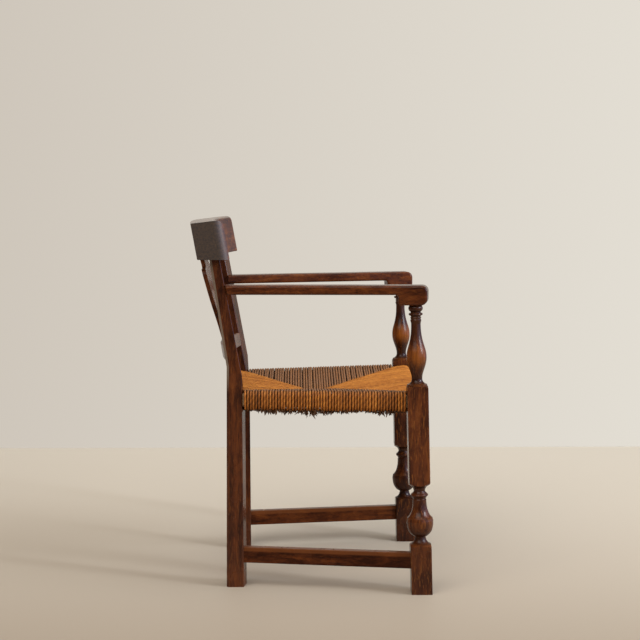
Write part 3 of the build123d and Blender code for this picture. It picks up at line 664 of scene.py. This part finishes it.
def seat_cords(rng):
    """All the cords of the seat, in a front, a rear and two side fields."""
    fields = {"front_rear": CordMesh(), "sides": CordMesh()}

    def cord(field, rail, inward, along, seam, deepest, tone, shaded=0.0):
        radius = CORD_RADIUS * rng.uniform(*CORD_WIDTHS)
        slant = rng.uniform(-CORD_SLANT, CORD_SLANT)
        points, painted_shade = cord_section(seam, deepest, rng)
        path = []
        for step, (distance, height) in enumerate(points):
            slide = slant * (2 * step / (len(points) - 1) - 1)
            x = rail[0] + inward[0] * distance + along[0] * slide
            y = rail[1] + inward[1] * distance + along[1] * slide
            path.append((x, y, seat_level(y) + height))
        shade = shaded * rng.uniform(*SIDE_SHADE_VARIES)
        fields[field].add_tube(path, along, [radius] * len(path), tone + rng.gauss(0, TONE_SPREAD),
                               painted_shade=[shade * amount for amount in painted_shade])

    def spread(low, high):
        low, high = low + POST_GAP, high - POST_GAP
        count = int((high - low) / CORD_PITCH)
        step = (high - low) / count
        return [low + (i + 0.5) * step + rng.uniform(-CORD_SHIFT, CORD_SHIFT) for i in range(count)]

    front_run, rear_run = FRONT_APEX_Y - FRONT_Y, REAR_Y - REAR_APEX_Y
    for x in spread(FRONT_RAIL_LOW.x, FRONT_RAIL_HIGH.x):
        seam = front_run * (1 - abs(x) / FRONT_X)
        cord("front_rear", (x, FRONT_Y), (0, 1), (1, 0, 0), seam, front_run, FRONT_TONE)
    for x in spread(REAR_RAIL_LOW.x, REAR_RAIL_HIGH.x):
        seam = rear_run * (1 - abs(x) / REAR_X)
        cord("front_rear", (x, REAR_Y), (0, -1), (1, 0, 0), seam, rear_run, REAR_TONE)
    for side in (-1, 1):
        for y in spread(SIDE_RAIL_LOW.y, SIDE_RAIL_HIGH.y):
            rail_x = side_rail_x(y)
            if y < FRONT_APEX_Y:
                seam_x = FRONT_X * (1 - (y - FRONT_Y) / front_run)
            elif y > REAR_APEX_Y:
                seam_x = REAR_X * (y - REAR_APEX_Y) / rear_run
            else:
                seam_x = MIDDLE_SEAM_X
            # Side fields: a lower tone and greyer tops, both painted shade
            cord("sides", (side * rail_x, y), (-side, 0), (0, 1, 0), rail_x - seam_x, rail_x, SIDE_SHADED_TONE,
                 SIDE_SHADE_SHARE)
    return fields


def frayed_ends(rng):
    """Broken ends of rush that hang below the seat's edges."""
    frays = CordMesh()

    def either_way(reach):
        return rng.uniform(-reach, reach)

    def tuft(x, y, outward, sag):
        root_z = seat_level(y) - SEAT_HALF + FRAY_ROOT
        for _ in range(rng.randint(*FRAY_COUNT)):
            length = rng.uniform(*FRAY_LENGTHS) * sag
            lean = Vector((rng.gauss(0, FRAY_LEAN[0]), rng.gauss(0, FRAY_LEAN[1]), -1))
            lean += Vector(outward) * rng.uniform(*FRAY_OUTWARD)
            lean.normalize()
            start = Vector((x + either_way(FRAY_PLACE[0]), y + either_way(FRAY_PLACE[1]), root_z))
            bend = Vector((rng.gauss(0, FRAY_BEND), rng.gauss(0, FRAY_BEND), 0)) * length
            path = [start + lean * (length + FRAY_ROOT) * t + bend * t * t for t in FRAY_STEPS]
            width = rng.uniform(*FRAY_WIDTHS)
            side_way = (either_way(1), either_way(1), FRAY_TILT)
            frays.add_tube([tuple(p) for p in path], side_way, [width * share for share in FRAY_TAPER],
                           rng.uniform(*FRAY_TONES), FRAY_SIDES)

    for side in (-1, 1):
        for step in range(SIDE_TUFTS):
            share = (step + rng.random()) / SIDE_TUFTS
            y = SIDE_RAIL_HIGH.y + (SIDE_RAIL_LOW.y - SIDE_RAIL_HIGH.y) * share
            sag = SIDE_SAG
            for centre, depth, spread in FRAY_CLUMPS:
                sag += depth * math.exp(-((share - centre) / spread) ** 2)
            x = side * (side_rail_x(y) + either_way(SIDE_TUFT_REACH))
            tuft(x, y, (side, 0, 0), sag * rng.uniform(*SIDE_SAG_VARIES))
    for place, half in ((FRONT_Y, FRONT_RAIL_HIGH.x), (REAR_Y, REAR_RAIL_HIGH.x)):
        for _ in range(END_TUFTS):
            x = either_way(END_TUFT_SHARE) * half
            tuft(x, place + either_way(END_TUFT_REACH), (0, 0, 0), rng.uniform(*END_SAG))
    return frays


def stuffing():
    """Packed rush inside the seat: one crowned pad for each field."""
    low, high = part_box("seat_stuffing")
    front = [(-FRONT_X, FRONT_Y), (FRONT_X, FRONT_Y), (0, FRONT_APEX_Y)]
    rear = [(REAR_X, REAR_Y), (-REAR_X, REAR_Y), (0, REAR_APEX_Y)]
    left = [(FRONT_X, FRONT_Y), (REAR_X, REAR_Y), (0, REAR_APEX_Y), (0, FRONT_APEX_Y)]
    right = [(-x, y) for x, y in reversed(left)]
    levels = ((PAD_FACE, low.z + PAD_INSET), (PAD_WAIST, low.z + PAD_SHOULDER),
              (PAD_WAIST, high.z - PAD_SHOULDER), (PAD_FACE, high.z - PAD_INSET))
    mesh = bmesh.new()
    for corners in (front, rear, left, right):
        middle = sum((Vector(c) for c in corners), Vector((0, 0))) / len(corners)
        rings = []
        for shrink, z in levels:
            spots = [middle + (Vector(corner) - middle) * shrink for corner in corners]
            rings.append([mesh.verts.new((spot.x, spot.y, z)) for spot in spots])
        for lower, upper in zip(rings, rings[1:]):
            for i in range(len(corners)):
                after = (i + 1) % len(corners)
                mesh.faces.new((lower[i], lower[after], upper[after], upper[i]))
        mesh.faces.new(rings[0][::-1])
        mesh.faces.new(rings[-1])
    bmesh.ops.recalc_face_normals(mesh, faces=mesh.faces)
    piece = mesh_object("seat_packing", mesh)
    smooth = piece.modifiers.new("soft", "SUBSURF")
    smooth.levels = smooth.render_levels = PAD_LEVELS
    return piece


def make_seat():
    rng = random.Random(RANDOM_SEED)
    rush = rush_material("rush", RUSH_COLOURS)
    fray = rush_material("frayed_rush", FRAY_COLOURS)
    fields = seat_cords(rng)
    pieces = [fields["front_rear"].build("rush_front_rear_cords", rush),
              fields["sides"].build("rush_side_cords", rush),
              frayed_ends(rng).build("rush_frayed_ends", fray)]
    for piece in pieces:
        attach(piece, BODY)
    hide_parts("rush_seat")
    packing = stuffing()
    packing.data.materials.append(plain_wood("packing_rush", *PACKING_COLOURS))
    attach(packing, BODY)
    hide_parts("seat_stuffing")


# Finish of the frame's own solids

def paint(node, material):
    piece = NODES[node]
    if not piece.material_slots:
        piece.data.materials.append(material)
    for slot in piece.material_slots:
        slot.material = material


def finish_wood():
    # The left front post's lower tone is painted shade under the seat
    for side, post_shade_tone, stretcher_warm in (("left", -0.12, -0.02), ("right", 0.0, -0.14)):
        post = f"front_post_{side}"
        paint(post, oak(f"oak_{post}", "Z", post_shade_tone, gloss=0.22, axis_x=middle_of(post).x))
        paint(f"rear_post_{side}",
              oak(f"oak_rear_post_{side}", "Z", -0.07, gloss=0.24, fleck_share=0.3, chamfer_wear_and_sheen=True))
        paint(f"arm_{side}", oak(f"oak_arm_{side}", "Y", -0.03, fleck_share=0.3, dark_ends=0.4))
        paint(f"side_stretcher_{side}",
              oak(f"oak_stretcher_{side}", "Y", stretcher_warm, gloss=0.08, fleck_share=0.1,
                  pale_above=PALE_TOP_HEIGHT))
    paint("crest_rail",
          oak("oak_crest", "X", -0.04, gloss=0.55, wear_share=0.2, dark_ends=1.0, hand_rubbed=True))
    paint("lower_back_rail", oak("oak_lower_rail", "X", -0.04, gloss=0.4))
    paint("back_splat", oak("oak_splat", "Z", -0.02))
    rails = plain_wood("rail_timber", *RAIL_COLOURS)
    for node in ("front_seat_rail", "rear_seat_rail", "side_seat_rail_left", "side_seat_rail_right"):
        paint(node, rails)
    pegs = plain_wood("dowel_timber", *DOWEL_COLOURS)
    for node in ("seat_rail_dowels", "stretcher_dowels", "arm_dowels", "back_rail_dowels"):
        paint(node, pegs)


# Stage, light and camera

def make_floor():
    mesh = bmesh.new()
    corners = ((-FLOOR_REACH, -FLOOR_REACH), (FLOOR_FAR_X, -FLOOR_REACH), (FLOOR_FAR_X, FLOOR_REACH),
               (-FLOOR_REACH, FLOOR_REACH))
    mesh.faces.new([mesh.verts.new((x, y, 0)) for x, y in corners])
    floor = mesh_object("floor", mesh)
    material, tree, shader = start_material("pale_floor")
    # Painted light: the floor grows paler towards its far edge
    share = span(tree, parts_of(tree, object_place(tree))["X"], FLOOR_FADE_X, FLOOR_FAR_X)
    colour = ramp(tree, share, ((0.0, FLOOR_NEAR_COLOUR), (1.0, FLOOR_FAR_COLOUR)))
    tree.links.new(colour, shader.inputs["Base Color"])
    shader.inputs["Roughness"].default_value = FLOOR_ROUGHNESS
    shader.inputs["Specular IOR Level"].default_value = FLOOR_GLOSS
    floor.data.materials.append(material)


def make_world():
    world = bpy.data.worlds.new("studio")
    bpy.context.scene.world = world
    world.use_nodes = True
    tree = world.node_tree
    tree.nodes.clear()
    path = add(tree, "ShaderNodeLightPath").outputs
    seen = math_node(tree, "MAXIMUM", path["Is Camera Ray"], path["Is Transmission Ray"])
    direction = parts_of(tree, add(tree, "ShaderNodeTexCoord").outputs["Generated"])
    forward = times(tree, direction["Y"], -1.0)
    wall_colour = mix(tree, span(tree, forward, *WALL_SPAN), WALL_REAR_COLOUR, WALL_FRONT_COLOUR)
    window_side = math_node(tree, "MULTIPLY_ADD", direction["X"], WINDOW_TURN, forward)
    windows = mix(tree, span(tree, window_side, *WINDOW_SPAN), DARK_ROOM_COLOUR, WINDOW_SKY_COLOUR)
    mirrored = mix(tree, span(tree, direction["X"], *MIRRORED_WALL_SPAN), windows, wall_colour)
    fill = add(tree, "ShaderNodeBackground", {"Color": FILL_COLOUR, "Strength": FILL_STRENGTH})
    room = add(tree, "ShaderNodeBackground", {"Color": mirrored, "Strength": 1.0})
    wall = add(tree, "ShaderNodeBackground", {"Color": wall_colour, "Strength": 1.0})
    lit = add(tree, "ShaderNodeMixShader",
              {0: path["Is Glossy Ray"], 1: fill.outputs[0], 2: room.outputs[0]})
    both = add(tree, "ShaderNodeMixShader", {0: seen, 1: lit.outputs[0], 2: wall.outputs[0]})
    add(tree, "ShaderNodeOutputWorld", {"Surface": both.outputs[0]})


def make_lights():
    for name, place, size, power, colour in LIGHTS:
        lamp = bpy.data.lights.new(name, "AREA")
        lamp.shape = "RECTANGLE"
        lamp.size, lamp.size_y = size
        lamp.energy = power
        lamp.color = colour
        light = bpy.data.objects.new(name, lamp)
        light.location = place
        light.rotation_euler = (Vector(LIGHT_TARGET) - Vector(place)).to_track_quat("-Z", "Y").to_euler()
        light.visible_camera = False
        bpy.context.collection.objects.link(light)


def make_camera():
    lens = bpy.data.cameras.new("photo_camera")
    lens.sensor_width = SENSOR_MM
    lens.lens = SENSOR_MM * FOCAL_PX / IMAGE_PX
    camera = bpy.data.objects.new("photo_camera", lens)
    camera.location = CAMERA_PLACE
    camera.rotation_euler = (math.radians(90 - CAMERA_PITCH_DEG), 0, math.radians(CAMERA_TURN_DEG))
    bpy.context.collection.objects.link(camera)
    bpy.context.scene.camera = camera


finish_wood()
make_seat()
make_floor()
make_world()
make_lights()
make_camera()
bpy.context.scene.view_settings.view_transform = "Standard"
